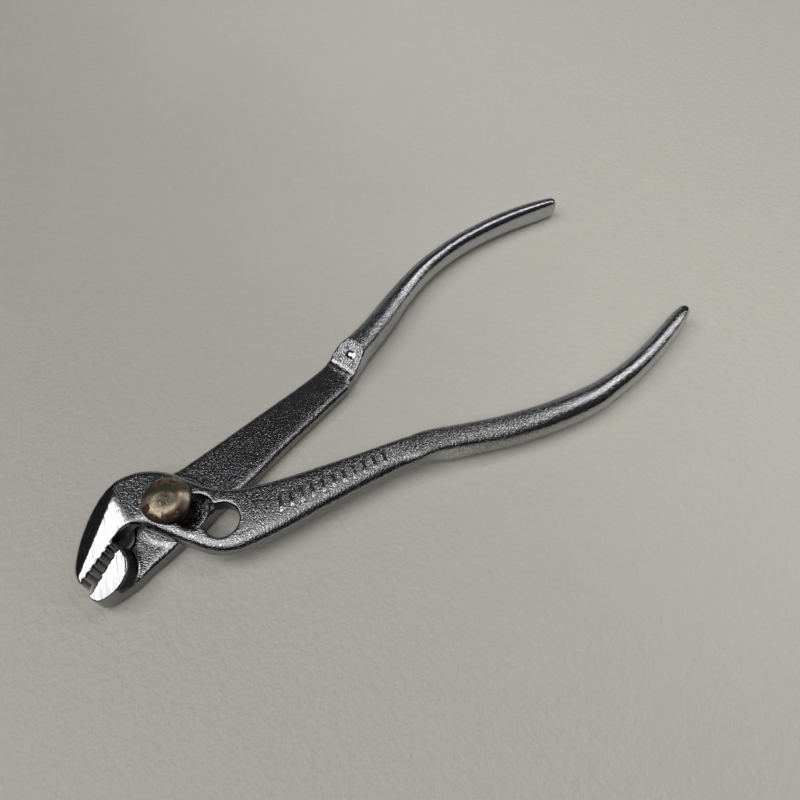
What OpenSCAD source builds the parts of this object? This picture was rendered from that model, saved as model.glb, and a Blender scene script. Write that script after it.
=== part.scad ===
// Slip-joint pliers with angled jaws, modelled with the jaws a little open.
// The origin is on the pivot axis, where the two halves meet. +X runs to the handles, +Z to the rivet head.

/* [Overall] */
// Pivot axis to the ends of the handles
handle_reach = 156; // [125:1:195]
// Pivot axis to the tip of the jaws
jaw_reach = 26.6; // [22:0.2:32]
// Thickness of each forging where the two cross
plate_t = 4.75; // [3.8:0.05:6]
// Half width of a handle in the middle of the grip
grip_half_w = 3.4; // [2.8:0.1:4.2]
// Half depth of a handle in the middle of the grip
grip_half_d = 3.7; // [3:0.1:4.4]

/* [Slip joint] */
// Number of seats in the slot
seat_count = 3; // [2:1:3]
// Distance from one seat to the next
seat_pitch = 7.3; // [6:0.1:8.8]
// Radius of each seat
seat_r = 4.45; // [3.7:0.05:5]
// Width of the passage between the seats
slot_w = 6.3; // [5.2:0.1:7.6]
// Direction of the slot in the front half, from the first seat
slot_angle = -55.3; // [-60:0.1:-50]
// Diameter of the rivet bore in the rear half
bore_d = 7.1; // [5.8:0.1:8.6]
// Running clearance on the radius of the rivet in its bore
bore_gap = 0.05; // [0.03:0.01:0.1]
// Clearance of the rivet shank in the slot, on each side
shank_gap = 0.12; // [0.08:0.01:0.2]
// Gap between the faces that slide on each other
face_gap = 0.1; // [0.05:0.01:0.2]

/* [Rivet] */
// Diameter of the rivet head
head_d = 12.4; // [11.5:0.1:15]
// Height of the straight rim of the rivet head
rim_h = 1.7; // [1.3:0.1:2.2]
// Height of the dome over the rim
dome_h = 1.5; // [1.1:0.1:2]
// Depth of the peened tail in its countersink
tail_h = 1.3; // [1:0.1:1.6]

/* [Head and jaws] */
// Radius of the rear half's head under the front half
hub_r = 10.9; // [9.8:0.1:11.2]
// Radius of the raised bearing boss on the rear half
boss_r = 9.1; // [7.6:0.1:9.6]
// Height of the bearing boss
boss_h = 0.35; // [0.25:0.05:0.5]
// Slope of the ground faces of the jaws towards the tip, degrees
grind_slope = 7; // [5:0.5:8.5]
// Where the ground faces of the jaws begin, from the pivot axis
grind_start = 10; // [9:0.5:11.5]
// Number of teeth in each jaw
tooth_count = 7; // [5:1:8]
// Distance from one tooth to the next
tooth_pitch = 1.8; // [1.5:0.05:2.1]
// Depth of the front jaw's teeth
tooth_depth = 0.6; // [0.4:0.05:0.75]

/* [Hidden] */
$fn = 64;

// Heights of the faces
bottom_z = -plate_t;
blade_z = -boss_h;
front_z = face_gap;
top_z = plate_t;

// The lengths that the outlines below are drawn for, and where they begin to stretch
drawn_reach = 156;
drawn_jaw = 26.6;
stretch_from = 24;
jaw_from = -grind_start;

// The crest lines of the teeth: a point on each, and its angle
front_crest = [-20.7, -3.05];
front_crest_angle = 22.5;
rear_crest = [-20.9, -6.15];
rear_crest_angle = 30;

// The slot's last seat, where it is and where the outline is drawn for it
slot_dir = [cos(slot_angle), sin(slot_angle)];
last_seat = slot_dir * seat_pitch * (seat_count - 1);
drawn_seat = [8.31, -12];
// What the head's outline gains below the slot when the slot grows
seat_shift = last_seat - drawn_seat;
slot_grow = [max(seat_shift[0], 0), min(seat_shift[1], 0)] + [max(seat_r - 4.45, 0), min(4.45 - seat_r, 0)];

// A smooth curve through the points p, with n steps between each two
function spline(p, n = 5) = concat(
    [for (i = [0 : len(p) - 2])
        for (k = [0 : n - 1])
            let (t = k / n, a = p[max(i - 1, 0)], b = p[i], c = p[i + 1], d = p[min(i + 2, len(p) - 1)])
            0.5 * (2 * b + (c - a) * t + (2 * a - 5 * b + 4 * c - d) * t * t + (3 * b - 3 * c + d - a) * t * t * t)],
    [p[len(p) - 1]]);

// The outlines stretch with the two reaches, past the head on each side
function stretch_u(u) =
    u > stretch_from ? stretch_from + (u - stretch_from) * (handle_reach - stretch_from) / (drawn_reach - stretch_from) :
    u < jaw_from ? jaw_from + (u - jaw_from) * (jaw_reach + jaw_from) / (drawn_jaw + jaw_from) : u;
function stretched(p) = [for (q = p) [for (i = [0 : len(q) - 1]) i == 0 ? stretch_u(q[0]) : q[i]]];

// The same for a jaw, whose outline also keeps to the slant of its teeth as it gets longer
function jaw_stretched(p, angle) = [for (q = p)
    let (u = stretch_u(q[0]))
    [u, q[0] < jaw_from ? q[1] + (u - q[0]) * tan(angle) : q[1]]];

// A toothed edge from the tip inwards; side is 1 where the gap lies above the edge, -1 below it
function toothed(crest, angle, tip_u, depth, side) =
    let (along = [cos(angle), sin(angle)],
         out = [-sin(angle), cos(angle)] * side,
         start = crest + along * (tip_u - crest[0]) / cos(angle),
         flank = 0.68)
    [for (i = [0 : tooth_count - 1])
        for (k = [0, 1])
            start + along * tooth_pitch * (i + k * flank) - out * depth * k];

// Outline of the front half's plate, from the tip of the jaw over the head to the handle and back
front_outer = [[-26.4, -4.9], [-26.5, -1.9], [-24.9, 1.8], [-21.4, 6.5], [-16.9, 10.5], [-12.2, 13], [-7.5, 13.8],
    [-2.8, 12.9], [1.4, 10.3], [4.7, 6.8], [7.3, 2.2], [10.6, -2.5], [15.2, -6.6], [21.9, -9.8], [30.6, -12.8],
    [40.7, -15.8], [51.2, -18.8], [59, -21]];
front_inner = [[59, -29], [52, -27.4], [40.5, -25.8], [29.4, -24.4], [21, -23.6]];
front_belly = [[13.3, -22.4], [7.1, -20.9], [2.5, -17.7]];
front_throat = [[-0.9, -13], [-3.8, -8.3], [-6.7, -3.4], [-8.3, -0.8], [-10.2, 0.7], [-12.2, 0.9], [-13.4, 0.6]];

// Outline of the rear half's plate
rear_outer = [[6.2, 9.6], [19.5, 10.5], [32.7, 11.6], [46.6, 12.7], [57.5, 14.2]];
rear_inner = [[58, 3.4], [45.2, 0.5], [32.5, -2.2], [20.7, -5.2], [14, -6.2], [9.4, -6.7], [4.2, -8.1], [-4.9, -9.6],
    [-12.9, -11], [-16.6, -11.9]];
rear_jaw_end = [[-20, -12.1], [-24.4, -11.9], [-26, -9.6]];
rear_throat = [[-13.6, -2.6], [-12.2, -1.6], [-11.1, 0.2]];

// Stations of the handles: x, y, half width, lowest z, highest z, and how square the section is
g_w = grip_half_w;
g_d = grip_half_d;
rear_grip = [
    [50, 6.9, 5, bottom_z + 0.1, blade_z - 0.1, 8],
    [55, 8.5, 5.1, bottom_z + 0.05, blade_z, 7],
    [58, 9.6, 5, bottom_z, blade_z + 0.1, 7],
    [59.5, 10.1, 4.9, bottom_z, blade_z + 1.5, 7],
    [63, 11.4, 4.6, 0.1 - plate_t, g_d - 0.2, 5],
    [67, 12.6, g_w + 0.7, -g_d - 0.8, g_d + 0.6, 3.6],
    [73, 14.5, g_w + 0.45, -g_d - 0.6, g_d + 0.5, 3],
    [80, 17.2, g_w + 0.4, -g_d - 0.3, g_d + 0.3, 2.6],
    [89.4, 21.1, g_w + 0.1, -g_d, g_d, 2.4],
    [100, 24.5, g_w - 0.2, -g_d, g_d, 2.4],
    [109.2, 26.1, g_w - 0.4, -g_d, g_d, 2.4],
    [117.7, 26.8, g_w - 0.5, -g_d, g_d, 2.4],
    [126, 26.7, g_w - 0.5, -g_d - 0.1, g_d - 0.1, 2.4],
    [134, 26.1, g_w - 0.5, -g_d - 0.3, g_d - 0.2, 2.6],
    [142, 24.9, g_w - 0.7, -g_d - 0.5, g_d - 0.3, 2.8],
    [150, 23.1, g_w - 1.1, -g_d - 0.7, g_d - 0.5, 3.2],
    [154.6, 21.9, g_w - 1.5, -g_d - 0.4, g_d - 0.8, 3.2],
    [155.8, 21.6, g_w - 2.1, 0.2 - g_d, g_d - 1.4, 3]];
front_grip = [
    [50, -23, 3.4, front_z + 0.1, top_z - 0.1, 8],
    [57, -24.7, 3.8, front_z - 0.1, top_z - 0.05, 7],
    [61, -25.4, 4, front_z - 0.3, top_z, 5],
    [65, -26.5, 4, -0.7 * plate_t, 0.2 + g_d + 0.7, 4],
    [69, -28.3, g_w + 0.6, -g_d - 0.7, g_d + 0.8, 3.6],
    [75, -31, g_w + 0.6, -g_d - 0.6, g_d + 0.6, 3.2],
    [84, -34.9, g_w + 0.8, -g_d - 0.3, g_d + 0.3, 3],
    [95.5, -38.6, g_w + 0.8, -g_d, g_d, 2.7],
    [108, -41.3, g_w + 0.6, -g_d, g_d, 2.5],
    [115.5, -41.8, g_w + 0.2, -g_d, g_d, 2.4],
    [124, -41.7, g_w - 0.1, -g_d, g_d, 2.4],
    [133, -40.7, g_w - 0.3, -g_d, g_d, 2.4],
    [141.3, -39.2, g_w - 0.5, -g_d, g_d, 2.5],
    [149.5, -37.4, g_w - 0.9, -g_d, g_d - 0.1, 2.7],
    [153.7, -36.5, g_w - 1.5, 0.4 - g_d, g_d - 0.5, 2.7],
    [155, -36.2, g_w - 2.2, 1 - g_d, g_d - 1.1, 2.7]];
ring_sides = 24;
ring_steps = 3;

// One ring of a handle, square to the way the handle runs
function handle_ring(s, way) = [for (k = [0 : ring_sides - 1])
    let (a = 360 * (k + 0.5) / ring_sides,
         x = sign(cos(a)) * pow(abs(cos(a)), 2 / s[5]) * s[2],
         z = sign(sin(a)) * pow(abs(sin(a)), 2 / s[5]) * (s[4] - s[3]) / 2)
    [s[0] - way[1] * x, s[1] + way[0] * x, z + (s[3] + s[4]) / 2]];

// A handle swept along its stations
module handle(stations) {
    line = spline(stretched(stations), ring_steps);
    last = len(line) - 1;
    rings = [for (i = [0 : last])
        let (a = line[max(i - 1, 0)], b = line[min(i + 1, last)], d = [b[0] - a[0], b[1] - a[1]])
        handle_ring(line[i], d / norm(d))];
    polyhedron(
        points = [for (ring = rings) for (p = ring) p],
        faces = concat(
            [[for (k = [0 : ring_sides - 1]) k]],
            [for (i = [0 : last - 1])
                for (k = [0 : ring_sides - 1])
                    let (n = (k + 1) % ring_sides)
                    [(i + 1) * ring_sides + k, (i + 1) * ring_sides + n, i * ring_sides + n, i * ring_sides + k]],
            [[for (k = [ring_sides - 1 : -1 : 0]) last * ring_sides + k]]),
        convexity = 6);
}

// The side view that both jaws are ground to: full thickness at the head, thinner at the tip
module jaw_profile() {
    far = jaw_reach + 4;
    tip_z = top_z - (far - grind_start) * tan(grind_slope);
    rotate([90, 0, 0])
        linear_extrude(120, center = true)
            polygon([[-far, -tip_z], [-far, tip_z], [-grind_start, top_z], [90, top_z], [90, bottom_z],
                [-grind_start, bottom_z]]);
}

// What is ground off the front jaw along its outer edge, above and below
module crown_cut() {
    edge = [stretch_u(-12), 8.8];
    outward = 130.8;
    roll = tan(20);
    fall = [tan(grind_slope) - roll * cos(outward), -roll * sin(outward)];
    for (side = [0, 1])
        mirror([0, 0, side])
            translate([edge[0], edge[1], top_z + tan(grind_slope) * (edge[0] + grind_start)])
                rotate([0, 0, atan2(fall[1], fall[0])])
                    rotate([0, -atan(norm(fall)), 0])
                        translate([-60, -60, 0])
                            cube([120, 120, 20]);
}

// The plan of the front half, with the toothed edge of its jaw
module front_plan() {
    belly = [for (q = front_belly) q + slot_grow];
    polygon(concat(
        spline(jaw_stretched(front_outer, front_crest_angle)),
        spline(stretched(concat(front_inner, belly, front_throat))),
        [for (i = [2 * tooth_count - 1 : -1 : 0])
            toothed(front_crest, front_crest_angle, stretch_u(-26.2), tooth_depth, -1)[i]]));
}

// The plan of the rear half, with the toothed edge of its jaw
module rear_plan() {
    head_arc = [for (a = [172 : -8 : 76]) [hub_r * cos(a), hub_r * sin(a)]];
    polygon(concat(
        head_arc,
        spline(stretched(rear_outer)),
        spline(jaw_stretched(rear_inner, rear_crest_angle)),
        spline(jaw_stretched(rear_jaw_end, rear_crest_angle)),
        toothed(rear_crest, rear_crest_angle, stretch_u(-25.9), tooth_depth / 2, 1),
        spline(rear_throat)));
}

// The seats and the passage that joins them
module slot_cut() {
    for (i = [0 : seat_count - 1])
        translate(concat(slot_dir * seat_pitch * i, bottom_z))
            cylinder(h = 3 * plate_t, r = seat_r);
    rotate([0, 0, slot_angle])
        translate([0, -slot_w / 2, bottom_z])
            cube([seat_pitch * (seat_count - 1), slot_w, 3 * plate_t]);
}

// The front half: slotted head, upper jaw and lower handle
module front_half() {
    shoulder = [-25, 5];
    shoulder_r = norm(shoulder) - hub_r - 0.8;
    color([0.62, 0.63, 0.66])
        union() {
            difference() {
                intersection() {
                    translate([0, 0, front_z])
                        linear_extrude(top_z - front_z)
                            front_plan();
                    jaw_profile();
                }
                slot_cut();
                crown_cut();
            }
            // the jaw is as thick as both plates, behind a coned shoulder that clears the rear half's head
            difference() {
                intersection() {
                    translate([0, 0, bottom_z])
                        linear_extrude(2 * plate_t)
                            front_plan();
                    jaw_profile();
                    translate([shoulder[0], shoulder[1], bottom_z])
                        rotate_extrude($fn = 96)
                            polygon([[0, 0], [shoulder_r - 1.2, 0], [shoulder_r, plate_t + front_z],
                                [shoulder_r, 2 * plate_t], [0, 2 * plate_t]]);
                }
                crown_cut();
            }
            handle(front_grip);
        }
}

// The draft on the underside of the rear half's blade, along its inner edge
module blade_draft() {
    edge = stretched([rear_inner[3], rear_inner[0]]);
    run = edge[1] - edge[0];
    inset = 0.32 * plate_t;
    depth = 0.5 * plate_t;
    translate([edge[0][0], edge[0][1], bottom_z])
        rotate([90, 0, atan2(run[1], run[0]) + 90])
            translate([0, 0, -0.3 * norm(run)])
                linear_extrude(1.4 * norm(run))
                    polygon([[inset, -1], [inset, 0], [0, depth], [-2, depth], [-2, -1]]);
}

// The flat pad that climbs from the blade to the top of the rear handle
module pad_cut() {
    foot = stretched([[60.5, 5.1]])[0];
    translate([foot[0], foot[1], blade_z])
        rotate([0, 0, 16.8])
            rotate([0, -30.2, 0])
                translate([0, -25, 0])
                    cube([18, 50, 10]);
}

// The rear half: bearing boss and bore, lower jaw and upper handle
module rear_half() {
    ridge = [-21.4, -5];
    ridge_r = 7.1;
    ramp = 1.3;
    color([0.5, 0.51, 0.54])
        difference() {
            union() {
                intersection() {
                    translate([0, 0, bottom_z])
                        linear_extrude(plate_t + blade_z)
                            rear_plan();
                    jaw_profile();
                }
                translate([0, 0, bottom_z + 1])
                    cylinder(h = plate_t - 1, r = boss_r);
                // the jaw rises to the level of the front half, behind a coned shoulder
                intersection() {
                    translate([0, 0, bottom_z])
                        linear_extrude(2 * plate_t)
                            rear_plan();
                    jaw_profile();
                    union() {
                        translate([ridge[0], ridge[1], bottom_z])
                            rotate_extrude($fn = 96)
                                polygon([[0, 0], [ridge_r + ramp, 0], [ridge_r + ramp, plate_t + blade_z],
                                    [ridge_r, 1.7 * plate_t], [ridge_r, 2 * plate_t], [0, 2 * plate_t]]);
                        translate([ridge[0] - 60, -60, bottom_z])
                            cube([60, 120, 2 * plate_t]);
                    }
                }
                handle(rear_grip);
            }
            blade_draft();
            pad_cut();
            translate([0, 0, bottom_z - 1])
                cylinder(h = plate_t + 2, d = bore_d);
            translate([0, 0, bottom_z - 0.01])
                cylinder(h = tail_h, r1 = bore_d / 2 + tail_h, r2 = bore_d / 2);
        }
}

// The rivet: peened tail, round spigot, shank with two flats, domed head
module pivot_rivet() {
    spigot_r = bore_d / 2 - bore_gap;
    shank_r = seat_r - shank_gap;
    dome_r = (pow(head_d / 2, 2) + dome_h * dome_h) / (2 * dome_h);
    head_z = top_z + face_gap;
    dome_angle = asin(head_d / 2 / dome_r);
    tail_z = bottom_z + bore_gap;
    shank_z = front_z / 2;
    color([0.66, 0.6, 0.48]) {
        translate([0, 0, tail_z])
            cylinder(h = shank_z - tail_z, r = spigot_r);
        translate([0, 0, tail_z])
            cylinder(h = head_z + rim_h - tail_z, r = min(slot_w / 2 - shank_gap, spigot_r));
        translate([0, 0, tail_z])
            cylinder(h = tail_h - 2 * bore_gap, r1 = spigot_r + tail_h - 2 * bore_gap, r2 = spigot_r);
        intersection() {
            translate([0, 0, shank_z])
                cylinder(h = head_z - shank_z + 0.5, r = shank_r);
            rotate([0, 0, slot_angle])
                translate([-seat_r, shank_gap - slot_w / 2, 0])
                    cube([2 * seat_r, slot_w - 2 * shank_gap, head_z + 0.5]);
        }
        translate([0, 0, head_z])
            rotate_extrude($fn = 96)
                polygon(concat([[0, 0], [head_d / 2 - 0.4, 0], [head_d / 2, 0.4]],
                    [for (a = [0 : 0.1 : 1])
                        [dome_r * sin(dome_angle * (1 - a)),
                         rim_h + dome_h - dome_r + dome_r * cos(dome_angle * (1 - a))]]));
    }
}

rear_half();
front_half();
pivot_rivet();
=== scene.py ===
"""Slip-joint pliers with angled jaws: the looks of the two chromed forgings and the rivet.

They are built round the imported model. Lengths in the functions are millimetres in its frame,
and meshes are scaled to metres at the end.
"""

import math

import bpy
import numpy as np
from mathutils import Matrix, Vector
from mathutils.kdtree import KDTree


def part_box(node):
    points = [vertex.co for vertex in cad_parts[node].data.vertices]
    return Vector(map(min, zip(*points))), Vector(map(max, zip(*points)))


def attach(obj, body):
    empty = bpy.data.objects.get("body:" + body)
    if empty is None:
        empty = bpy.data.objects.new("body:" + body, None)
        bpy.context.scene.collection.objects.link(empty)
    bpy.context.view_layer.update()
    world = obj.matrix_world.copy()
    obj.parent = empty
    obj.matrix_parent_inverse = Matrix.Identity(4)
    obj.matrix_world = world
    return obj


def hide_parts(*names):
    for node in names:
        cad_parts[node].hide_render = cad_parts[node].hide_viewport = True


bl_info = {
    "name": "Slip-joint pliers",
    "version": (1, 0, 0),
    "blender": (4, 5, 0),
    "location": "3D View > Sidebar > Pliers",
    "description": "Builds the forged halves, the rivet and the studio of a pair of slip-joint pliers",
    "category": "Add Mesh",
}

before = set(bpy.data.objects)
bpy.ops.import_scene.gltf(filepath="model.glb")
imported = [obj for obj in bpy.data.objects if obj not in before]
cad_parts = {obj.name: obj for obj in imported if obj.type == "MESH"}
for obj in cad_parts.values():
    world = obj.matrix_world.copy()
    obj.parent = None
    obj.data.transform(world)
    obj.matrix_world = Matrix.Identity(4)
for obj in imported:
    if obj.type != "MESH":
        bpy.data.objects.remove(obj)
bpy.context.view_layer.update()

MM = 0.001

# The camera: its turn about the vertical, its tilt, its place in metres and its lens
VIEW_TURN = math.radians(-37.4)
VIEW_TILT = math.radians(32)
VIEW_PLACE = (0.0039, -0.0904, 0.164)
VIEW_LENS = 30.96
VIEW_SENSOR = 36.0

# The slot that the rivet shifts along, in the front half
SEAT_PITCH = 7.3
SEAT_COUNT = 3
SLOT_ANGLE = math.radians(-55.3)

# The crest lines of the two rows of teeth: a point on each, and its angle
FRONT_CREST = (-20.7, -3.05, math.radians(22.5))
REAR_CREST = (-20.9, -6.15, math.radians(30))

# The side of the tool that faces the camera, in plan
NEAR_SIDE = (-0.607, -0.794)

# The way that the ground facets on top of both jaws face
JAW_FACET = (-0.122, 0.0, 0.993)

# The ridge round the back of the rear jaw: the middle of its arc
RIDGE_MIDDLE = (-21.4, -5.0)

# The rivet bore in the rear half
BORE_RADIUS = 3.55

# How far along X the flat plates run before the handles
FRONT_PLATE_END = 62
REAR_PLATE_END = 58

# The grid spacing at which the property Rounding counts its rounds one for one
ROUNDING_GRID = 0.25

# The pad on the rear handle: how far it slants in plan, and how it is tilted and turned
PAD_SLANT = 0.3026
PAD_TILT = math.radians(-30.2)
PAD_TURN = math.radians(16.8)

# Ends of the run of bars on the front half's plate, and the middle of the rear half's pad, in metres
MARK_START, MARK_END = (0.0222, -0.0176), (0.0502, -0.0231)
PAD_MARK = (0.0634, 0.0108, 0.00225)

# How far the marks are sunk into their face, and the table lies under the tool, in metres
MARK_SINK = 0.00003
TABLE_GAP = 0.00002
TABLE_HALF = 1.6

# Turn of the grinding lines on each half's jaw
FRONT_GRIND = math.radians(-15)
REAR_GRIND = math.radians(-20)


# ---------------------------------------------------------------- sizes and colours

class PliersForging(bpy.types.PropertyGroup):
    """How the forgings are finished in shape"""
    grid: bpy.props.FloatProperty(
        name="Grid", description="Spacing of the forgings' surface mesh",
        default=0.00028, min=0.0002, max=0.001, precision=5, subtype="DISTANCE", unit="LENGTH")
    rounding: bpy.props.IntProperty(
        name="Rounding", description="How far the forged edges are rounded", default=22, min=0, max=60)
    waviness: bpy.props.FloatProperty(
        name="Waviness", description="Height of the slow waves that forging leaves in the faces",
        default=0.000015, min=0.0, max=0.0002, precision=6, subtype="DISTANCE", unit="LENGTH")
    mark_height: bpy.props.FloatProperty(
        name="Mark height", description="Height of the raised index marks",
        default=0.0003, min=0.0, max=0.0006, precision=5, subtype="DISTANCE", unit="LENGTH")
    mark_count: bpy.props.IntProperty(
        name="Marks", description="Number of raised index bars on the front half",
        default=11, min=1, max=14)


class PliersFinish(bpy.types.PropertyGroup):
    """Colours and textures of the metals"""
    chrome: bpy.props.FloatVectorProperty(
        name="Chrome", description="Colour of the chrome plating", subtype="COLOR", size=3,
        default=(0.72, 0.73, 0.75), min=0.0, max=1.0)
    nickel: bpy.props.FloatVectorProperty(
        name="Nickel", description="Colour of the rivet's plating", subtype="COLOR", size=3,
        default=(0.43, 0.37, 0.275), min=0.0, max=1.0)
    rust: bpy.props.FloatVectorProperty(
        name="Rust", description="Colour of the rust on the rivet", subtype="COLOR", size=3,
        default=(0.085, 0.018, 0.006), min=0.0, max=1.0)
    blast_grain: bpy.props.FloatProperty(
        name="Blast grain", description="Size of the grains of the shot-blasted faces",
        default=0.00042, min=0.0001, max=0.002, precision=5, subtype="DISTANCE", unit="LENGTH")
    blast_depth: bpy.props.FloatProperty(
        name="Blast depth", description="Depth of the shot-blasted texture",
        default=0.00013, min=0.0, max=0.0006, precision=6, subtype="DISTANCE", unit="LENGTH")


class PliersStudio(bpy.types.PropertyGroup):
    """The floor and the lights"""
    floor: bpy.props.FloatVectorProperty(
        name="Floor", description="Colour of the floor", subtype="COLOR", size=3,
        default=(0.7, 0.68, 0.63), min=0.0, max=1.0)
    light: bpy.props.FloatProperty(
        name="Light", description="Strength of all lights together", default=1.0, min=0.0, max=4.0,
        subtype="FACTOR")
    dark: bpy.props.FloatProperty(
        name="Room", description="Brightness of the room behind the lights", default=0.05, min=0.0, max=1.0,
        subtype="FACTOR")


# ---------------------------------------------------------------- wiring of node trees

def put(tree, socket, value):
    """Join a socket to another, or give it a plain value"""
    if isinstance(value, bpy.types.NodeSocket):
        tree.links.new(value, socket)
    elif hasattr(socket, "default_value"):
        socket.default_value = value


def node(tree, kind, settings=None, **inputs):
    """A new node with its settings, and its inputs by name"""
    made = tree.nodes.new(kind)
    for key, value in (settings or {}).items():
        setattr(made, key, value)
    for key, value in inputs.items():
        put(tree, made.inputs[key.replace("_", " ")], value)
    return made


def sum_of(tree, operation, a, b=0.0, c=0.0, clamp=False):
    """The result of a Math node"""
    made = tree.nodes.new("ShaderNodeMath")
    made.operation = operation
    made.use_clamp = clamp
    put(tree, made.inputs[0], a)
    put(tree, made.inputs[1], b)
    put(tree, made.inputs[2], c)
    return made.outputs[0]


def ramp(tree, value, low, high, to_low=0.0, to_high=1.0):
    """A value carried smoothly from one span to another"""
    made = node(tree, "ShaderNodeMapRange", {"interpolation_type": "SMOOTHSTEP"}, Value=value)
    made.inputs["From Min"].default_value = low
    made.inputs["From Max"].default_value = high
    put(tree, made.inputs["To Min"], to_low)
    put(tree, made.inputs["To Max"], to_high)
    return made.outputs["Result"]


def blend_colour(tree, factor, a, b):
    """One colour turning into another"""
    made = node(tree, "ShaderNodeMix", {"data_type": "RGBA"})
    put(tree, made.inputs[0], factor)
    put(tree, made.inputs[6], a if isinstance(a, bpy.types.NodeSocket) else (*a[:3], 1.0))
    put(tree, made.inputs[7], b if isinstance(b, bpy.types.NodeSocket) else (*b[:3], 1.0))
    return made.outputs[2]


def millimetres(tree, turn=0.0, centre=(0, 0, 0), stretch=(1, 1, 1)):
    """The piece's own coordinates in millimetres, turned about Z and stretched"""
    place = tree.nodes.new("ShaderNodeTexCoord").outputs["Object"]
    scale = node(tree, "ShaderNodeVectorMath", {"operation": "SCALE"}, Vector=place)
    scale.inputs["Scale"].default_value = 1 / MM
    mapping = node(tree, "ShaderNodeMapping", {"vector_type": "TEXTURE"}, Vector=scale.outputs[0])
    mapping.inputs["Location"].default_value = centre
    mapping.inputs["Rotation"].default_value = (0, 0, turn)
    mapping.inputs["Scale"].default_value = tuple(1 / s for s in stretch)
    return mapping.outputs[0]


def new_group(name, inputs, outputs):
    """An empty shader node group with its sockets, and its input and output nodes"""
    tree = bpy.data.node_groups.new(name, "ShaderNodeTree")
    for label, kind, default in inputs:
        socket = tree.interface.new_socket(label, in_out="INPUT", socket_type=kind)
        if default is not None:
            socket.default_value = default
    for label, kind in outputs:
        tree.interface.new_socket(label, in_out="OUTPUT", socket_type=kind)
    return tree, tree.nodes.new("NodeGroupInput"), tree.nodes.new("NodeGroupOutput")


def shot_blast_group():
    """Grains of a blasted face under plating: a height, and a mask of the bright grains"""
    name = "Shot-blasted grain"
    if name in bpy.data.node_groups:
        return bpy.data.node_groups[name]
    tree, given, result = new_group(
        name,
        [("Vector", "NodeSocketVector", None), ("Grain", "NodeSocketFloat", 0.34)],
        [("Height", "NodeSocketFloat"), ("Speck", "NodeSocketFloat")])
    fine = sum_of(tree, "DIVIDE", 1.0, given.outputs["Grain"])
    coarse = sum_of(tree, "MULTIPLY", fine, 0.36)
    grain = node(tree, "ShaderNodeTexNoise", None, Vector=given.outputs["Vector"], Scale=fine,
                 Detail=3.0, Roughness=0.6, Distortion=0.0)
    lumps = node(tree, "ShaderNodeTexNoise", None, Vector=given.outputs["Vector"], Scale=coarse,
                 Detail=2.0, Roughness=0.5, Distortion=0.0)
    pits = node(tree, "ShaderNodeTexVoronoi", {"feature": "F1"}, Vector=given.outputs["Vector"],
                Scale=sum_of(tree, "MULTIPLY", fine, 0.8), Randomness=1.0)
    bowl = ramp(tree, pits.outputs["Distance"], 0.0, 0.75)
    height = sum_of(tree, "MULTIPLY_ADD", grain.outputs[0], 0.62, sum_of(tree, "MULTIPLY", bowl, 0.3))
    height = sum_of(tree, "MULTIPLY_ADD", lumps.outputs[0], 0.45, height)
    put(tree, result.inputs["Height"], height)
    put(tree, result.inputs["Speck"], ramp(tree, grain.outputs[0], 0.52, 0.68))
    return tree


def grind_group():
    """Fine parallel lines that a belt leaves: a height, and a tone"""
    name = "Grind lines"
    if name in bpy.data.node_groups:
        return bpy.data.node_groups[name]
    tree, given, result = new_group(
        name,
        [("Vector", "NodeSocketVector", None), ("Pitch", "NodeSocketFloat", 0.16)],
        [("Height", "NodeSocketFloat"), ("Tone", "NodeSocketFloat")])
    across = node(tree, "ShaderNodeVectorMath", {"operation": "MULTIPLY"}, Vector=given.outputs["Vector"])
    across.inputs[1].default_value = (1.0, 0.035, 0.12)
    per = sum_of(tree, "DIVIDE", 1.0, given.outputs["Pitch"])
    lines = node(tree, "ShaderNodeTexNoise", None, Vector=across.outputs[0], Scale=per,
                 Detail=3.0, Roughness=0.7)
    broad = node(tree, "ShaderNodeTexNoise", None, Vector=across.outputs[0],
                 Scale=sum_of(tree, "MULTIPLY", per, 0.22), Detail=1.0, Roughness=0.5)
    put(tree, result.inputs["Height"],
        sum_of(tree, "MULTIPLY_ADD", broad.outputs[0], 0.7, lines.outputs[0]))
    put(tree, result.inputs["Tone"], ramp(tree, lines.outputs[0], 0.36, 0.56))
    return tree


def stain_group():
    """Patches of stain or rust: a mask with ragged edges"""
    name = "Ragged stain"
    if name in bpy.data.node_groups:
        return bpy.data.node_groups[name]
    tree, given, result = new_group(
        name,
        [("Vector", "NodeSocketVector", None), ("Size", "NodeSocketFloat", 1.0),
         ("Cover", "NodeSocketFloat", 0.3)],
        [("Mask", "NodeSocketFloat")])
    per = sum_of(tree, "DIVIDE", 1.0, given.outputs["Size"])
    patch = node(tree, "ShaderNodeTexNoise", None, Vector=given.outputs["Vector"], Scale=per, Detail=6.0,
                 Roughness=0.68, Distortion=0.5)
    edge = sum_of(tree, "SUBTRACT", 1.0, given.outputs["Cover"])
    over = sum_of(tree, "SUBTRACT", patch.outputs[0], sum_of(tree, "MULTIPLY_ADD", edge, 0.6, 0.2))
    put(tree, result.inputs["Mask"], sum_of(tree, "MULTIPLY", over, 14.0, clamp=True))
    return tree


def use_group(tree, group, **inputs):
    """A group node with its inputs"""
    made = tree.nodes.new("ShaderNodeGroup")
    made.node_tree = group
    for key, value in inputs.items():
        put(tree, made.inputs[key], value)
    return made


def new_material(name):
    """A material with a Principled shader, and its tree"""
    material = bpy.data.materials.new(name)
    material.use_nodes = True
    tree = material.node_tree
    tree.nodes.clear()
    shader = tree.nodes.new("ShaderNodeBsdfPrincipled")
    output = tree.nodes.new("ShaderNodeOutputMaterial")
    tree.links.new(shader.outputs[0], output.inputs[0])
    return material, tree, shader


# ---------------------------------------------------------------- the metals

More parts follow.
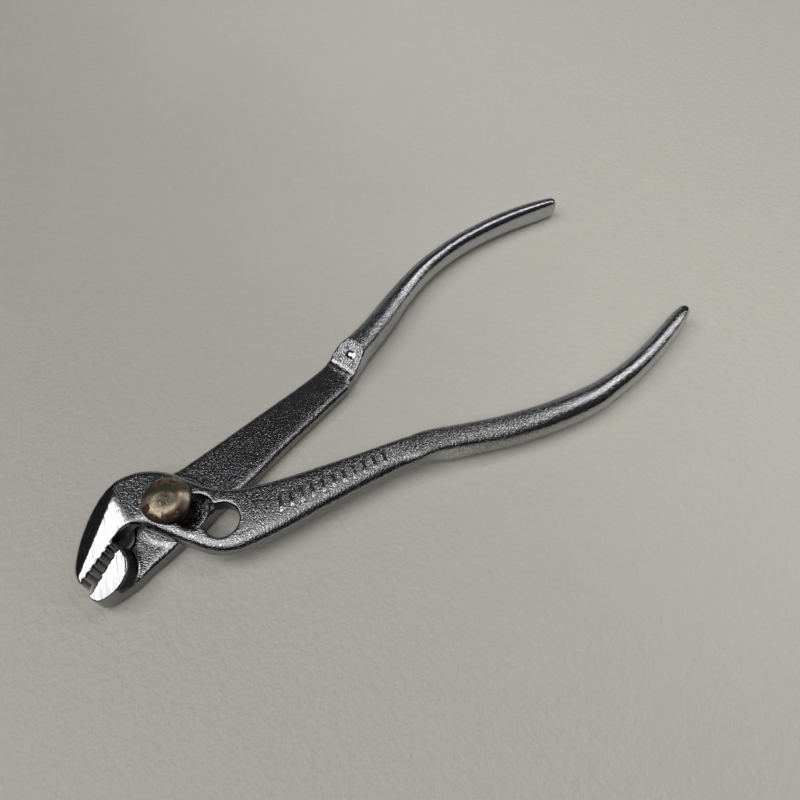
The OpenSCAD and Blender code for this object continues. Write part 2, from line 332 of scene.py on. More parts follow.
def forged_chrome(name, finish, tint=(1, 1, 1), grind_turn=0.0):
    """Chrome over a blasted forging

    The piece's "skin" attribute says where it is blasted (red), ground (green), darkened (blue)
    and pitted (alpha); the blue darkening is mostly painted shade on walls and between teeth.
    """
    material, tree, shader = new_material(name)
    skin = node(tree, "ShaderNodeAttribute", {"attribute_name": "skin", "attribute_type": "GEOMETRY"})
    masks = node(tree, "ShaderNodeSeparateColor", None, Color=skin.outputs["Color"])
    blasted, ground, painted_shade_and_dark = masks.outputs[0], masks.outputs[1], masks.outputs[2]
    pitted = skin.outputs["Alpha"]
    place = millimetres(tree)
    blast = use_group(tree, shot_blast_group(), Vector=place, Grain=finish.blast_grain / MM)
    grind = use_group(tree, grind_group(), Vector=millimetres(tree, turn=grind_turn), Pitch=0.55)
    stain = use_group(tree, stain_group(), Vector=place, Size=5.0, Cover=0.3)
    peel = node(tree, "ShaderNodeTexNoise", None, Vector=place, Scale=0.9, Detail=2.0, Roughness=0.5)

    chrome = [c * t for c, t in zip(finish.chrome, tint)]
    dull = [c * 0.62 for c in chrome]
    colour = blend_colour(tree, sum_of(tree, "MULTIPLY", stain.outputs["Mask"], 0.35), chrome, dull)
    hollow = sum_of(tree, "MULTIPLY", blasted, sum_of(tree, "SUBTRACT", 1.0, blast.outputs["Speck"]))
    dark = [c * 0.22 for c in chrome]
    colour = blend_colour(tree, sum_of(tree, "MULTIPLY", hollow, 0.8), colour, dark)
    pit = sum_of(tree, "MULTIPLY", pitted, ramp(tree, blast.outputs["Height"], 0.62, 0.78, 1.0, 0.0))
    colour = blend_colour(tree, pit, colour, [c * 0.12 for c in chrome])
    streak = sum_of(tree, "MULTIPLY", ground, sum_of(tree, "SUBTRACT", 1.0, grind.outputs["Tone"]))
    colour = blend_colour(tree, sum_of(tree, "MULTIPLY", streak, 0.6), colour, dark)
    # painted shade: the blue mask darkens the chrome towards near black, standing in for shade on walls, in
    # the slot and between the teeth
    colour = blend_colour(tree, painted_shade_and_dark, colour, (0.03, 0.028, 0.026))
    put(tree, shader.inputs["Base Color"], colour)
    shader.inputs["Metallic"].default_value = 1.0

    rough = ramp(tree, peel.outputs[0], 0.3, 0.7, 0.05, 0.09)
    rough = sum_of(tree, "MULTIPLY_ADD", blasted, 0.03, rough)
    matt = sum_of(tree, "MULTIPLY", ground, grind.outputs["Tone"])
    rough = sum_of(tree, "MULTIPLY_ADD", matt, 0.08, rough)
    rough = sum_of(tree, "MULTIPLY_ADD", painted_shade_and_dark, 0.12, rough)
    put(tree, shader.inputs["Roughness"], rough)

    height = sum_of(tree, "MULTIPLY", blast.outputs["Height"], sum_of(tree, "ADD", blasted, pitted))
    lines = sum_of(tree, "MULTIPLY", grind.outputs["Height"], ground)
    height = sum_of(tree, "MULTIPLY_ADD", lines, 0.4, height)
    height = sum_of(tree, "MULTIPLY_ADD", peel.outputs[0], 0.15, height)
    bump = node(tree, "ShaderNodeBump", None, Height=height)
    bump.inputs["Strength"].default_value = 1.0
    bump.inputs["Distance"].default_value = finish.blast_depth
    put(tree, shader.inputs["Normal"], bump.outputs[0])
    return material


def near(tree, place, centre, inner, outer):
    """1 within the inner radius of a point, 0 past the outer one, in millimetres"""
    distance = node(tree, "ShaderNodeVectorMath", {"operation": "DISTANCE"}, Vector=place)
    distance.inputs[1].default_value = centre
    return ramp(tree, distance.outputs["Value"], inner, outer, 1.0, 0.0)


def worn_nickel(finish, head_top):
    """The rivet's warm nickel, worn in the middle of the head, with rust by its rim, painted darker low on
    the head as shade
    """
    material, tree, shader = new_material("Worn nickel")
    place = millimetres(tree)
    grain = use_group(tree, shot_blast_group(), Vector=place, Grain=0.5)
    fleck = use_group(tree, stain_group(), Vector=place, Size=0.9, Cover=0.6)
    patch = use_group(tree, stain_group(), Vector=place, Size=1.7, Cover=0.62)
    smear = node(tree, "ShaderNodeTexNoise", None, Vector=place, Scale=0.7, Detail=5.0, Roughness=0.65)

    # where the rust sits: two spots on the far shoulder, one on the left, and the rim on the near side
    spots = sum_of(tree, "MAXIMUM", near(tree, place, (3.6, 2.6, head_top - 0.9), 0.3, 1.7),
                   near(tree, place, (0.6, 4.6, head_top - 1.0), 0.2, 1.6))
    spots = sum_of(tree, "MAXIMUM", spots, near(tree, place, (-5.4, 0.0, head_top - 1.3), 0.8, 2.6))
    rim_side = near(tree, place, (-3.6, -5.0, head_top - 2.4), 5.0, 9.0)
    axes = node(tree, "ShaderNodeSeparateXYZ", None, Vector=place)
    ragged = sum_of(tree, "MULTIPLY_ADD", patch.outputs["Mask"], -0.35, axes.outputs[2])
    low = ramp(tree, ragged, head_top - 1.35, head_top - 0.75, 1.0, 0.0)
    rim = sum_of(tree, "MULTIPLY", rim_side, low)
    blotch = sum_of(tree, "MULTIPLY_ADD", sum_of(tree, "SUBTRACT", smear.outputs[0], 0.5), 4.5, spots)
    rust = sum_of(tree, "MULTIPLY", ramp(tree, blotch, 0.62, 0.85), ramp(tree, spots, 0.0, 0.2))
    rim = sum_of(tree, "MULTIPLY", rim, ramp(tree, smear.outputs[0], 0.25, 0.5, 0.85, 1.0))
    rust = sum_of(tree, "MAXIMUM", rust, rim)
    # rust over the bottom of the head's side, there painted near black as shade
    under = ramp(tree, axes.outputs[2], head_top - 1.9, head_top - 1.5, 1.0, 0.0)
    rust = sum_of(tree, "MAXIMUM", rust, sum_of(tree, "MULTIPLY", under, 0.8))

    # worn through in the middle of the head
    middle = near(tree, place, (-0.4, -0.8, head_top), 1.0, 3.0)
    worn = sum_of(tree, "MULTIPLY", middle, fleck.outputs["Mask"])
    nickel = list(finish.nickel)
    shade = blend_colour(tree, ramp(tree, smear.outputs[0], 0.35, 0.65), nickel, [c * 0.72 for c in nickel])
    colour = blend_colour(tree, sum_of(tree, "MULTIPLY", worn, 0.75), shade, (0.06, 0.042, 0.026))
    # painted shade: the rust is a lighter tone high on the head and a near-black shaded tone low on it
    lit_rust = [c * m for c, m in zip(finish.rust, (0.75, 0.75, 0.6))]
    shaded_rust = [c * 0.22 for c in finish.rust]
    shade_low_on_head = ramp(tree, axes.outputs[2], head_top - 1.5, head_top - 0.8, 1.0, 0.0)
    scale = blend_colour(tree, shade_low_on_head, lit_rust, shaded_rust)
    colour = blend_colour(tree, rust, colour, scale)
    put(tree, shader.inputs["Base Color"], colour)
    put(tree, shader.inputs["Metallic"], sum_of(tree, "MULTIPLY_ADD", rust, -1.0, 1.0, clamp=True))
    rough = ramp(tree, smear.outputs[0], 0.3, 0.7, 0.24, 0.36)
    rough = sum_of(tree, "MULTIPLY_ADD", worn, 0.2, rough)
    put(tree, shader.inputs["Roughness"], sum_of(tree, "MULTIPLY_ADD", rust, 0.42, rough, clamp=True))
    height = sum_of(tree, "MULTIPLY_ADD", sum_of(tree, "ADD", rust, worn), 0.7,
                    sum_of(tree, "MULTIPLY", grain.outputs["Height"], 0.35))
    bump = node(tree, "ShaderNodeBump", None, Height=height)
    bump.inputs["Strength"].default_value = 1.0
    bump.inputs["Distance"].default_value = 0.00005
    put(tree, shader.inputs["Normal"], bump.outputs[0])
    return material


def studio_floor(colour):
    """Pale table top with a faint grain, painted a little paler towards the far right and darker towards the
    near side as light and shade
    """
    material, tree, shader = new_material("Table top")
    place = millimetres(tree)
    cells = node(tree, "ShaderNodeTexNoise", None, Vector=place, Scale=0.55, Detail=3.0, Roughness=0.55)
    broad = node(tree, "ShaderNodeTexNoise", None, Vector=place, Scale=0.012, Detail=2.0, Roughness=0.5)
    # painted light and shade: the colour ramps from a darker near tone to a paler far tone across the floor,
    # standing in for how the light falls on it
    axes = node(tree, "ShaderNodeSeparateXYZ", None, Vector=millimetres(tree, turn=VIEW_TURN))
    side = sum_of(tree, "MULTIPLY_ADD", axes.outputs[1], 0.6, axes.outputs[0])
    side = sum_of(tree, "MULTIPLY_ADD", broad.outputs[0], 60.0, side)
    shaded_near_tone = [c * 0.92 for c in colour]
    lit_far_tone = [min(c * 1.3, 0.92) for c in colour]
    put(tree, shader.inputs["Base Color"],
        blend_colour(tree, ramp(tree, side, 0.0, 260.0), shaded_near_tone, lit_far_tone))
    shader.inputs["Roughness"].default_value = 0.42
    shader.inputs["Specular IOR Level"].default_value = 0.5
    bump = node(tree, "ShaderNodeBump", None, Height=cells.outputs[0])
    bump.inputs["Distance"].default_value = 0.0005
    bump.inputs["Strength"].default_value = 0.8
    put(tree, shader.inputs["Normal"], bump.outputs[0])
    return material


# ---------------------------------------------------------------- shaping the forgings

def step(value, low, high):
    """Smooth step from 0 at low to 1 at high"""
    t = np.clip((value - low) / (high - low), 0.0, 1.0)
    return t * t * (3 - 2 * t)


def remeshed(cad_node, spacing):
    """An even mesh over a copy of a CAD node, in millimetres"""
    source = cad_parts[cad_node]
    mesh = source.data.copy()
    mesh.materials.clear()
    copy = bpy.data.objects.new("remeshing", mesh)
    bpy.context.scene.collection.objects.link(copy)
    points = np.empty(len(mesh.vertices) * 3, np.float32)
    mesh.vertices.foreach_get("co", points)
    mesh.vertices.foreach_set("co", points / MM)
    weld = copy.modifiers.new("weld", "WELD")
    weld.merge_threshold = 0.0005
    remesh = copy.modifiers.new("even grid", "REMESH")
    remesh.mode = "VOXEL"
    remesh.voxel_size = spacing
    remesh.adaptivity = 0.0
    bpy.context.view_layer.update()
    graph = bpy.context.evaluated_depsgraph_get()
    made = bpy.data.meshes.new_from_object(copy.evaluated_get(graph))
    if len(made.polygons) < 1000:
        raise RuntimeError(f"{cad_node}: the even grid came out empty")
    bpy.data.objects.remove(copy)
    bpy.data.meshes.remove(mesh)
    return made


def as_arrays(mesh):
    """Vertices and edges of a mesh as arrays"""
    points = np.empty(len(mesh.vertices) * 3)
    mesh.vertices.foreach_get("co", points)
    edges = np.empty(len(mesh.edges) * 2, np.int64)
    mesh.edges.foreach_get("vertices", edges)
    return points.reshape(-1, 3), edges.reshape(-1, 2)


def relax(points, edges, weight, rounds):
    """Each vertex moves towards the middle of its neighbours, as far as its weight says"""
    a, b = edges[:, 0], edges[:, 1]
    count = len(points)
    valence = np.maximum(np.bincount(a, minlength=count) + np.bincount(b, minlength=count), 1)
    points = points.copy()
    for _ in range(rounds):
        for axis in range(3):
            column = points[:, axis]
            mean = (np.bincount(a, column[b], count) + np.bincount(b, column[a], count)) / valence
            points[:, axis] = column + weight * (mean - column)
    return points


def soft_field(values, edges, rounds):
    """A field spread over the surface"""
    return relax(np.repeat(values[:, None], 3, 1), edges, np.full(len(values), 0.5), rounds)[:, 0]


def vertex_normals(mesh, points):
    """Normals at the vertices of a mesh given these points"""
    mesh.vertices.foreach_set("co", points.astype(np.float32).ravel())
    mesh.update()
    normals = np.empty(len(points) * 3)
    mesh.vertex_normals.foreach_get("vector", normals)
    return normals.reshape(-1, 3)


def waves(points, seed, lengths, count=7):
    """Slow seeded waves over space, about -1 to 1"""
    chance = np.random.default_rng(seed)
    total = np.zeros(len(points))
    for _ in range(count):
        way = chance.normal(size=3)
        way /= np.linalg.norm(way)
        length = chance.uniform(*lengths)
        total += np.sin(points @ way * (2 * math.pi / length) + chance.uniform(0, 2 * math.pi))
    return total / math.sqrt(count)


def finished(mesh, points, skin, name, material, body, cad_node):
    """The shaped mesh as a finished piece that stands for its CAD node"""
    mesh.vertices.foreach_set("co", (points * MM).astype(np.float32).ravel())
    if skin is not None:
        layer = mesh.attributes.new("skin", "FLOAT_COLOR", "POINT")
        layer.data.foreach_set("color", np.clip(skin, 0, 1).astype(np.float32).ravel())
    mesh.shade_smooth()
    mesh.materials.clear()
    mesh.materials.append(material)
    mesh.update()
    mesh.name = name
    piece = bpy.data.objects.new(name, mesh)
    bpy.context.scene.collection.objects.link(piece)
    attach(piece, body)
    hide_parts(cad_node)
    return piece


def spacing_now(forging):
    return forging.grid / MM * 1.0


def from_wall(points, wall, wanted):
    """Distance in plan from each wanted vertex to the nearest vertex of a wall, in millimetres"""
    tree = KDTree(int(wall.sum()))
    for index, (x, y, _) in enumerate(points[wall]):
        tree.insert((x, y, 0.0), index)
    tree.balance()
    distance = np.full(len(points), 99.0)
    distance[wanted] = [tree.find((x, y, 0.0))[2] for x, y, _ in points[wanted]]
    return distance


def rolled_edge(distance, reach, angle, radius):
    """How far a face drops beside an edge, in two parts: a slow roll over its reach, and a round corner"""
    slow = 0.5 * math.tan(math.radians(angle)) / reach * np.maximum(reach - distance, 0) ** 2
    inside = np.clip(radius - distance, 0, 0.97 * radius)
    return slow, radius - np.sqrt(radius * radius - inside * inside)


def tooth_depth_of(points, crest, side):
    """How deep each vertex lies behind the crest line of the teeth"""
    x, y, _ = points.T
    return ((y - crest[1]) * math.cos(crest[2]) - (x - crest[0]) * math.sin(crest[2])) * side


def on_teeth(points, crest, side):
    """1 in the band of a jaw that holds its teeth, 0 away from it"""
    depth = tooth_depth_of(points, crest, side)
    return step(depth, 1.5, 1.1) * step(depth, -1.8, -1.4) * step(points[:, 0], -12.2, -13)


def smoothing_rounds(forging, spacing):
    """How many rounds of smoothing give the same rounding on this grid"""
    return max(round(forging.rounding * (ROUNDING_GRID / spacing) ** 2), 2)


def near_walls(normals):
    """The upright walls that face the camera"""
    facing = normals[:, 0] * NEAR_SIDE[0] + normals[:, 1] * NEAR_SIDE[1]
    return (np.abs(normals[:, 2]) < 0.4) & (facing > 0.35)


def plate_sides(normals, x):
    """1 on the upright sides of a plate, 0 on its faces and on the handle"""
    return step(np.abs(normals[:, 2]), 0.75, 0.35) * step(x, 68, 58)


def ground_facet(normals, jaw):
    """1 where a jaw faces the way its grinding did"""
    return jaw * step(normals @ JAW_FACET, 0.97, 0.99)


def skin_of(edges, blasted, ground, painted_shade_and_dark, pitted):
    """The four masks of the skin attribute, the first three softened over the surface"""
    soft = [soft_field(blasted, edges, 6), soft_field(ground, edges, 1), soft_field(painted_shade_and_dark, edges, 2)]
    return np.stack([*soft, pitted], 1)


def shape_front_half(forging, material):
    """Front half: slotted head, ground upper jaw, forged handle"""
    spacing = spacing_now(forging)
    mesh = remeshed("front_half", spacing)
    start, edges = as_arrays(mesh)
    normals = vertex_normals(mesh, start)
    x, y, z = start.T
    top = step(normals[:, 2], 0.6, 0.95)

    # the jaw is ground after forging, so it keeps its edges; so do the teeth and the slot
    jaw = step(x, -8.5, -11.5)
    teeth = on_teeth(start, FRONT_CREST, 1)
    slot_way = np.array([math.cos(SLOT_ANGLE), math.sin(SLOT_ANGLE)])
    along = np.clip(x * slot_way[0] + y * slot_way[1], 0, SEAT_PITCH * (SEAT_COUNT - 1))
    from_slot = np.hypot(x - along * slot_way[0], y - along * slot_way[1])
    slot = step(from_slot, 6.0, 5.0)
    weight = 0.9 * (1 - 0.82 * jaw) * (1 - 0.8 * slot) * (1 - 0.97 * teeth)
    # the plate falls away along the edge that faces the camera
    wall = near_walls(normals) & (x > -8.5) & (x < FRONT_PLATE_END) & (z > 1.5) & (from_slot > 5.4)
    distance = from_wall(start, wall, (normals[:, 2] > -0.2) & (z > 1) & (x > -9) & (x < FRONT_PLATE_END))
    slow, corner = rolled_edge(distance, 9.0, 9.5, 2.0)
    rolled = start.copy()
    drop = slow * step(x, -5, 3) + corner * step(x, -10, -7)
    rolled[:, 2] -= drop * step(x, FRONT_PLATE_END, 52) * np.clip((z - 1) / 3.7, 0, 1)
    points = relax(rolled, edges, weight, smoothing_rounds(forging, spacing))
    points += normals * (waves(points, 11, (6, 16)) * forging.waviness / MM * (1 - jaw))[:, None]

    # how the skin looks where
    grip = step(x, 60, 76)
    plate = top * (1 - grip) * (1 - jaw)
    smoother = 0.25 * step(y + 0.33 * x, 4.5, 7.5)
    blasted = plate * (0.85 - smoother) + grip * (0.62 - 0.2 * step(x, 84, 122)) + 0.16
    blasted *= 1 - 0.55 * jaw
    ground = ground_facet(normals, jaw)
    depth = tooth_depth_of(start, FRONT_CREST, 1)
    blasted = np.maximum(blasted * (1 - 0.85 * ground), 0.5 * jaw * (1 - ground) * top)
    turn = step(x, -11.0, -9.8) * step(x, -7.6, -9.0) * top
    # painted shade: the slot's walls, the plate's upright sides and the teeth's flanks, darker deeper in,
    # are darkened as shade; the band on top where the jaw starts is darkened as well
    slot_wall = 0.5 * step(from_slot, 4.9, 4.2) * (1 - top)
    painted_shade_and_dark = slot_wall + 0.62 * plate_sides(normals, x) * (1 - teeth) + 0.55 * turn
    painted_shade_and_dark += teeth * (1 - top) * (0.3 + 0.6 * step(depth, 0.15, 0.5))
    pitted = 0.5 * step(x, 58, 66) * step(x, 105, 78)
    skin = skin_of(edges, blasted, ground, painted_shade_and_dark, pitted)
    return finished(mesh, points, skin, "front_forging", material, "front", "front_half")


def shape_rear_half(forging, material):
    """Rear half: boss under the head, toothed lower jaw, blade, pad and forged handle"""
    spacing = spacing_now(forging)
    mesh = remeshed("rear_half", spacing)
    start, edges = as_arrays(mesh)
    normals = vertex_normals(mesh, start)
    x, y, z = start.T
    top = step(normals[:, 2], 0.6, 0.95)
    jaw = step(x, -11, -14) * step(z, -0.6, 0.2)
    boss = step(np.hypot(x, y), 10.4, 9.4) * step(z, -1.2, -0.5)
    teeth = on_teeth(start, REAR_CREST, -1)
    up_slope = x + PAD_SLANT * y
    pad = step(up_slope, 63.0, 64.2) * step(up_slope, 72, 70) * step(z, -1.5, -0.5)
    weight = 0.9 * (1 - 0.95 * np.maximum(jaw, step(x, -12.5, -14) * (1 - top))) * (1 - 0.8 * boss)
    weight *= (1 - 0.97 * teeth) * (1 - 0.7 * pad)
    wall = near_walls(normals) & (x > -12) & (x < REAR_PLATE_END) & (z < -1)
    distance = from_wall(start, wall, (normals[:, 2] > -0.2) & (z > -3.5) & (x > -12) & (x < REAR_PLATE_END))
    slow, corner = rolled_edge(distance, 3.0, 7.0, 0.8)
    rolled = start.copy()
    drop = (slow + corner) * step(x, -12, -10) * step(x, REAR_PLATE_END, 52)
    rolled[:, 2] -= drop * (1 - boss) * np.clip((z + 3.5) / 3, 0, 1)
    points = relax(rolled, edges, weight, smoothing_rounds(forging, spacing))
    points += normals * (waves(points, 23, (6, 18)) * forging.waviness / MM * (1 - jaw))[:, None]
    # the smoothing draws the bore's wall inwards, so it is put back clear of the rivet's spigot
    reach = np.hypot(points[:, 0], points[:, 1])
    drawn_in = (reach > 0.1) & (reach < BORE_RADIUS)
    points[drawn_in, :2] *= (BORE_RADIUS / reach[drawn_in])[:, None]

    # how the skin looks where
    grip = step(x, 63, 72)
    blade = top * (1 - grip) * (1 - jaw)
    blasted = blade * (0.78 - 0.25 * step(x, 34, 52) * step(y - 0.25 * x, -8, -3)) + grip * 0.42 + 0.14
    blasted = np.maximum(blasted, 0.85 * step(x, 58, 60) * step(x, 84, 66) * top)
    blasted *= 1 - 0.85 * jaw
    ground = ground_facet(normals, jaw)
    depth = tooth_depth_of(start, REAR_CREST, -1)
    from_ridge = np.hypot(x - RIDGE_MIDDLE[0], y - RIDGE_MIDDLE[1])
    behind_jaw = step(from_ridge, 6.9, 7.3) * step(from_ridge, 9.2, 8.4) * step(z, -0.3, 0.1) * (x > -20)
    blasted = np.maximum(blasted, 0.7 * behind_jaw)
    # painted shade: the teeth's flanks, darker deeper in, and the blade's upright sides are darkened as
    # shade; the ridge behind the jaw is darkened as well
    painted_shade_and_dark = teeth * (1 - top) * (0.3 + 0.6 * step(depth, 0.05, 0.3))
    painted_shade_and_dark += (0.62 * plate_sides(normals, x) + 0.35 * behind_jaw) * (1 - teeth)
    pitted = np.maximum(soft_field(pad * top, edges, 3), 0.5 * step(x, 64, 68) * step(x, 96, 76))
    skin = skin_of(edges, blasted, ground, painted_shade_and_dark, pitted)
    return finished(mesh, points, skin, "rear_forging", material, "rear", "rear_half")


def shape_rivet(material):
    """The rivet, its head a little uneven from peening"""
    mesh = remeshed("pivot_rivet", 0.12)
    start, edges = as_arrays(mesh)
    normals = vertex_normals(mesh, start)
    z = start[:, 2]
    head = step(z, 4.7, 4.95)
    points = relax(start, edges, 0.9 * (0.25 + 0.75 * head), 22)
    # the hammered middle is a little flat and off centre
    top_z = points[:, 2].max()
    reach = np.hypot(points[:, 0] + 0.7, points[:, 1] + 0.9)
    flat = step(reach, 3.4, 1.6) * step(z, top_z - 1.2, top_z - 0.6)
    points[:, 2] -= 0.1 * flat
    dents = waves(points, 5, (2.2, 5.5)) * 0.035 - 0.035
    points += normals * (dents * head)[:, None]
    return finished(mesh, points, None, "rivet", material, "rivet", "pivot_rivet")


# ---------------------------------------------------------------- raised marks

def index_marks_tree():
    """Geometry nodes: rounded bars stood side by side along a line"""
    tree = bpy.data.node_groups.new("Index bars", "GeometryNodeTree")
    sockets = [("Start", "NodeSocketVector"), ("End", "NodeSocketVector"), ("Count", "NodeSocketInt"),
               ("Bar length", "NodeSocketFloat"), ("Bar width", "NodeSocketFloat"),
               ("Bar height", "NodeSocketFloat"), ("Turn", "NodeSocketRotation"),
               ("Seed", "NodeSocketInt"), ("Metal", "NodeSocketMaterial")]
    for label, kind in sockets:
        tree.interface.new_socket(label, in_out="INPUT", socket_type=kind)
    tree.interface.new_socket("Bars", in_out="OUTPUT", socket_type="NodeSocketGeometry")
    given, result = tree.nodes.new("NodeGroupInput"), tree.nodes.new("NodeGroupOutput")
    line = node(tree, "GeometryNodeMeshLine", {"mode": "END_POINTS"})
    put(tree, line.inputs["Count"], given.outputs["Count"])
    put(tree, line.inputs["Start Location"], given.outputs["Start"])
    put(tree, line.inputs["Offset"], given.outputs["End"])
    outline = node(tree, "GeometryNodeCurvePrimitiveQuadrilateral")
    put(tree, outline.inputs["Width"], given.outputs["Bar width"])
    put(tree, outline.inputs["Height"], given.outputs["Bar length"])
    corners = node(tree, "GeometryNodeFilletCurve", {"mode": "POLY"}, Curve=outline.outputs[0], Count=6)
    put(tree, corners.inputs["Radius"], sum_of(tree, "MULTIPLY", given.outputs["Bar width"], 0.42))
    foot = node(tree, "GeometryNodeFillCurve", {"mode": "NGONS"}, Curve=corners.outputs[0])
    raised = node(tree, "GeometryNodeExtrudeMesh", {"mode": "FACES"}, Mesh=foot.outputs[0])
    put(tree, raised.inputs["Offset Scale"], sum_of(tree, "MULTIPLY", given.outputs["Bar height"], 0.4))
    crown = node(tree, "GeometryNodeExtrudeMesh", {"mode": "FACES"}, Mesh=raised.outputs[0],
                 Selection=raised.outputs["Top"])
    put(tree, crown.inputs["Offset Scale"], sum_of(tree, "MULTIPLY", given.outputs["Bar height"], 0.6))
    taper = node(tree, "GeometryNodeScaleElements", {"domain": "FACE"}, Geometry=crown.outputs[0],
                 Selection=crown.outputs["Top"], Scale=0.4)
    uneven = node(tree, "FunctionNodeRandomValue", {"data_type": "FLOAT"})
    uneven.inputs[2].default_value = 0.85
    uneven.inputs[3].default_value = 1.0
    put(tree, uneven.inputs["Seed"], given.outputs["Seed"])
    size = node(tree, "ShaderNodeCombineXYZ", None, X=1.0, Y=uneven.outputs[1], Z=1.0)
    stand = node(tree, "GeometryNodeInstanceOnPoints")
    put(tree, stand.inputs["Points"], line.outputs[0])
    put(tree, stand.inputs["Instance"], taper.outputs[0])
    put(tree, stand.inputs["Scale"], size.outputs[0])
    put(tree, stand.inputs["Rotation"], given.outputs["Turn"])
    real = node(tree, "GeometryNodeRealizeInstances")
    put(tree, real.inputs[0], stand.outputs[0])
    metal = node(tree, "GeometryNodeSetMaterial")
    put(tree, metal.inputs["Geometry"], real.outputs[0])
    put(tree, metal.inputs["Material"], given.outputs["Metal"])
    put(tree, result.inputs[0], metal.outputs[0])
    return tree


def bars(name, tree, body, slot, grain, **values):
    """One run of raised bars as a plain mesh that rides on a body"""
    holder = bpy.data.objects.new("laying out", bpy.data.meshes.new("laying out"))
    bpy.context.scene.collection.objects.link(holder)
    modifier = holder.modifiers.new("bars", "NODES")
    modifier.node_group = tree
    sockets = {item.name: item.identifier for item in tree.interface.items_tree if item.in_out == "INPUT"}
    for key, value in values.items():
        modifier[sockets[key.replace("_", " ")]] = value
    bpy.context.view_layer.update()
    made = bpy.data.meshes.new_from_object(holder.evaluated_get(bpy.context.evaluated_depsgraph_get()))
    holder.modifiers.remove(modifier)
    bpy.data.objects.remove(holder)
    if not made.polygons:
        raise RuntimeError(f"{name}: the bars came out empty")
    full = np.zeros((len(made.vertices), 4), np.float32)
    full[:, 0] = grain
    made.attributes.new("skin", "FLOAT_COLOR", "POINT").data.foreach_set("color", full.ravel())
    made.name = name
    piece = bpy.data.objects.new(name, made)
    bpy.context.scene.collection.objects.link(piece)
    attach(piece, body)
    return piece


# ---------------------------------------------------------------- operators

class PLIERS_OT_front_half(bpy.types.Operator):
    """Build the front half: slotted head, upper jaw and lower handle"""
    bl_idname = "pliers.front_half"
    bl_label = "Front half"

    def execute(self, context):
        scene = context.scene
        metal = forged_chrome("Front half chrome", scene.pliers_finish, grind_turn=FRONT_GRIND)
        shape_front_half(scene.pliers_forging, metal)
        return {"FINISHED"}


class PLIERS_OT_rear_half(bpy.types.Operator):
    """Build the rear half: bearing boss, lower jaw, blade and upper handle"""
    bl_idname = "pliers.rear_half"
    bl_label = "Rear half"

    def execute(self, context):
        scene = context.scene
        metal = forged_chrome("Rear half chrome", scene.pliers_finish, tint=(0.95, 0.95, 0.97),
                              grind_turn=REAR_GRIND)
        shape_rear_half(scene.pliers_forging, metal)
        return {"FINISHED"}


class PLIERS_OT_rivet(bpy.types.Operator):
    """Build the rivet with its worn nickel head"""
    bl_idname = "pliers.rivet"
    bl_label = "Rivet"

    def execute(self, context):
        head_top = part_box("pivot_rivet")[1].z / MM
        metal = worn_nickel(context.scene.pliers_finish, head_top)
        shape_rivet(metal)
        return {"FINISHED"}


class PLIERS_OT_marks(bpy.types.Operator):
    """Build the plain raised index bars on the front half's plate and the rear half's pad"""
    bl_idname = "pliers.marks"
    bl_label = "Index marks"

    def execute(self, context):
        forging = context.scene.pliers_forging
        for wanted in ("Front half chrome", "Rear half chrome"):
            if wanted not in bpy.data.materials:
                raise RuntimeError("build both halves before their marks")
        tree = index_marks_tree()
        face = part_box("front_half")[1].z - MARK_SINK
        start, end = Vector(MARK_START), Vector(MARK_END)
        lean = math.atan2(end.y - start.y, end.x - start.x) - 0.15
        bars("front_index_bars", tree, "front", "front_chrome", 0.6,
             Start=(*start, face), End=(*end, face), Count=forging.mark_count,
             Bar_length=0.0042, Bar_width=0.0012, Bar_height=forging.mark_height,
             Turn=(0.0, 0.0, lean), Seed=3, Metal=bpy.data.materials["Front half chrome"])
        bars("rear_pad_mark", tree, "rear", "rear_chrome", 0.15,
             Start=PAD_MARK, End=PAD_MARK, Count=1,
             Bar_length=0.0032, Bar_width=0.0024, Bar_height=forging.mark_height * 1.5,
             Turn=(0.0, PAD_TILT, PAD_TURN), Seed=5, Metal=bpy.data.materials["Rear half chrome"])
        return {"FINISHED"}


# Ceiling panels over the table, as if the ceiling were 1 high:
# name, middle, length and width, brightness, colour
CEILING_PANELS = [
    ("Overhead diffuser", (-0.42, -0.38), (1.25, 1.05), 1.7, (1.0, 0.985, 0.955)),
    ("Left diffuser", (-0.82, 0.14), (0.5, 0.34), 2.6, (1.0, 0.99, 0.97)),
    ("Far lamp row", (2.1, 0.49), (3.8, 0.24), 2.6, (1.0, 0.99, 0.97)),
    ("Far wall", (-0.6, 4.4), (3.0, 5.0), 0.34, (0.97, 0.99, 1.0)),
]
# Real height of the ceiling, in metres
CEILING = 2.2


def turned(way):
    """A direction seen from the camera's turn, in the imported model's frame"""
    x, y, z = way
    c, s = math.cos(VIEW_TURN), math.sin(VIEW_TURN)
    return Vector((c * x - s * y, s * x + c * y, z))


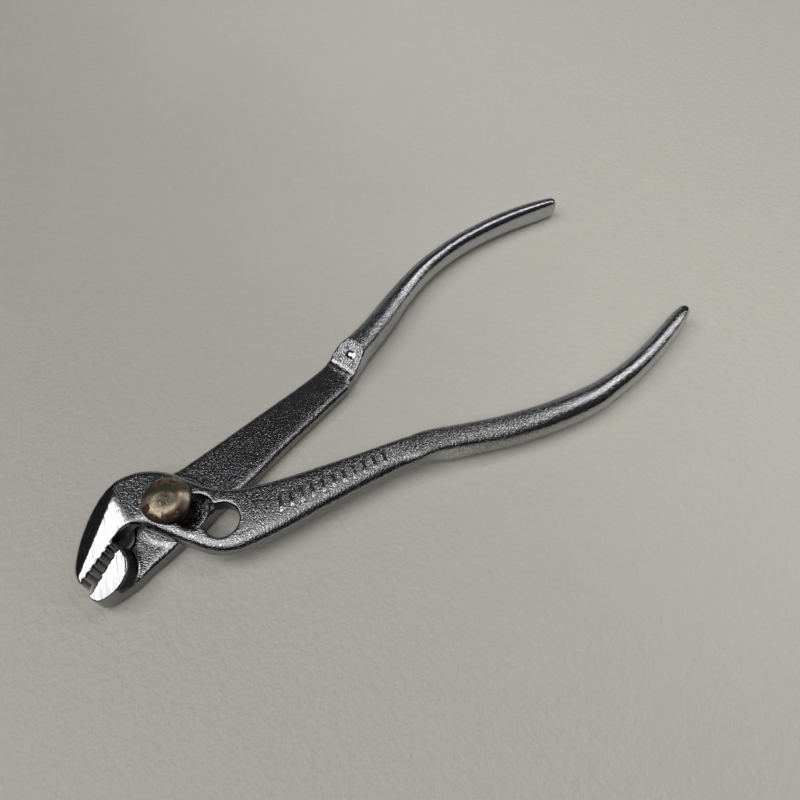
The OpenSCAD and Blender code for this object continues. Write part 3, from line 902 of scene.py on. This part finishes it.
class PLIERS_OT_studio(bpy.types.Operator):
    """Build the floor, the lights and the camera"""
    bl_idname = "pliers.studio"
    bl_label = "Studio"

    def execute(self, context):
        scene = context.scene
        studio = scene.pliers_studio
        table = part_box("rear_half")[0].z - TABLE_GAP
        corners = [(-1, -1), (1, -1), (1, 1), (-1, 1)]
        mesh = bpy.data.meshes.new("table")
        mesh.from_pydata([(a * TABLE_HALF, b * TABLE_HALF, table) for a, b in corners], [], [(0, 1, 2, 3)])
        mesh.materials.append(studio_floor(list(studio.floor)))
        floor = bpy.data.objects.new("table", mesh)
        scene.collection.objects.link(floor)

        centre = Vector((0.065, -0.008, 0.0))
        for name, (across, ahead), (length, width), glow, colour in CEILING_PANELS:
            lamp = bpy.data.lights.new(name, "AREA")
            lamp.shape = "RECTANGLE"
            lamp.size, lamp.size_y = length * CEILING, width * CEILING
            lamp.energy = glow * math.pi * lamp.size * lamp.size_y * studio.light
            lamp.color = colour
            holder = bpy.data.objects.new(name, lamp)
            holder.location = centre + turned((across, ahead, 1.0)) * CEILING
            holder.rotation_euler = (0.0, 0.0, VIEW_TURN)
            scene.collection.objects.link(holder)

        world = bpy.data.worlds.new("Studio room")
        world.use_nodes = True
        tree = world.node_tree
        back = tree.nodes["Background"]
        around = tree.nodes.new("ShaderNodeTexCoord").outputs["Generated"]
        way = node(tree, "ShaderNodeSeparateXYZ", None, Vector=around)
        room = ramp(tree, way.outputs[2], 0.05, 0.95, studio.dark * 0.25, studio.dark)
        grey = node(tree, "ShaderNodeCombineXYZ", None, X=room, Y=room, Z=room)
        put(tree, back.inputs["Color"], grey.outputs[0])
        back.inputs["Strength"].default_value = 1.0
        scene.world = world

        eye = bpy.data.cameras.new("Camera")
        eye.sensor_width = VIEW_SENSOR
        eye.lens = VIEW_LENS
        eye.clip_start = 0.01
        camera = bpy.data.objects.new("Camera", eye)
        camera.location = VIEW_PLACE
        camera.rotation_euler = (VIEW_TILT, 0.0, VIEW_TURN)
        scene.collection.objects.link(camera)
        scene.camera = camera
        scene.view_settings.view_transform = "Standard"
        return {"FINISHED"}


class PLIERS_PT_panel(bpy.types.Panel):
    """Sidebar panel that lists the pieces and their settings"""
    bl_label = "Slip-joint pliers"
    bl_idname = "PLIERS_PT_panel"
    bl_space_type = "VIEW_3D"
    bl_region_type = "UI"
    bl_category = "Pliers"

    def draw(self, context):
        layout = self.layout
        for operator in BUILD_ORDER:
            layout.operator(operator.bl_idname)
        scene = context.scene
        for group in (scene.pliers_forging, scene.pliers_finish, scene.pliers_studio):
            box = layout.box()
            for name in group.__annotations__:
                box.prop(group, name)


SETTINGS = (PliersForging, PliersFinish, PliersStudio)
BUILD_ORDER = (
    PLIERS_OT_front_half, PLIERS_OT_rear_half, PLIERS_OT_rivet, PLIERS_OT_marks, PLIERS_OT_studio)


def register():
    for kind in SETTINGS + BUILD_ORDER + (PLIERS_PT_panel,):
        bpy.utils.register_class(kind)
    bpy.types.Scene.pliers_forging = bpy.props.PointerProperty(type=PliersForging)
    bpy.types.Scene.pliers_finish = bpy.props.PointerProperty(type=PliersFinish)
    bpy.types.Scene.pliers_studio = bpy.props.PointerProperty(type=PliersStudio)


def unregister():
    for name in ("pliers_forging", "pliers_finish", "pliers_studio"):
        delattr(bpy.types.Scene, name)
    for kind in reversed(SETTINGS + BUILD_ORDER + (PLIERS_PT_panel,)):
        bpy.utils.unregister_class(kind)


def main():
    register()
    bpy.ops.pliers.front_half()
    bpy.ops.pliers.rear_half()
    bpy.ops.pliers.rivet()
    bpy.ops.pliers.marks()
    bpy.ops.pliers.studio()


if __name__ == "__main__":
    main()
